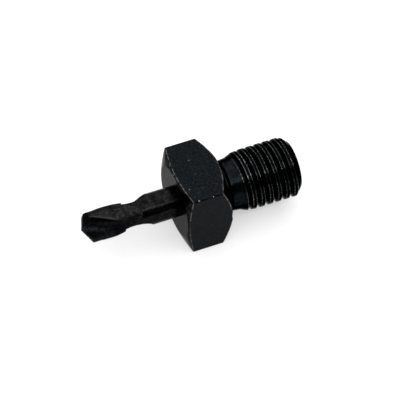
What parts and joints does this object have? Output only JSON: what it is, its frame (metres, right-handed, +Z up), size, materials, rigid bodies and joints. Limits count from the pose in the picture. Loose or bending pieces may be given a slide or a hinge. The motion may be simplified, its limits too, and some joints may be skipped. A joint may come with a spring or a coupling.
{
  "type": "threaded shank drill bit",
  "caption": "Short twist drill turned and ground in one piece with a square collar and a threaded shank that screws into an angle drill head.",
  "frame": {"origin": "centre of the shoulder face, where the threaded shank leaves the square collar, on the tool's axis", "axes": "+X along the tool's axis from the drill point to the threaded end, +Z up with the tool lying on one flat of its square collar"},
  "size_m": [0.0231, 0.008, 0.008],
  "materials": {
    "steel": "black oxide on hardened tool steel"
  },
  "bodies": {
    "root": {"drill_bit": "steel"}
  },
  "joints": []
}
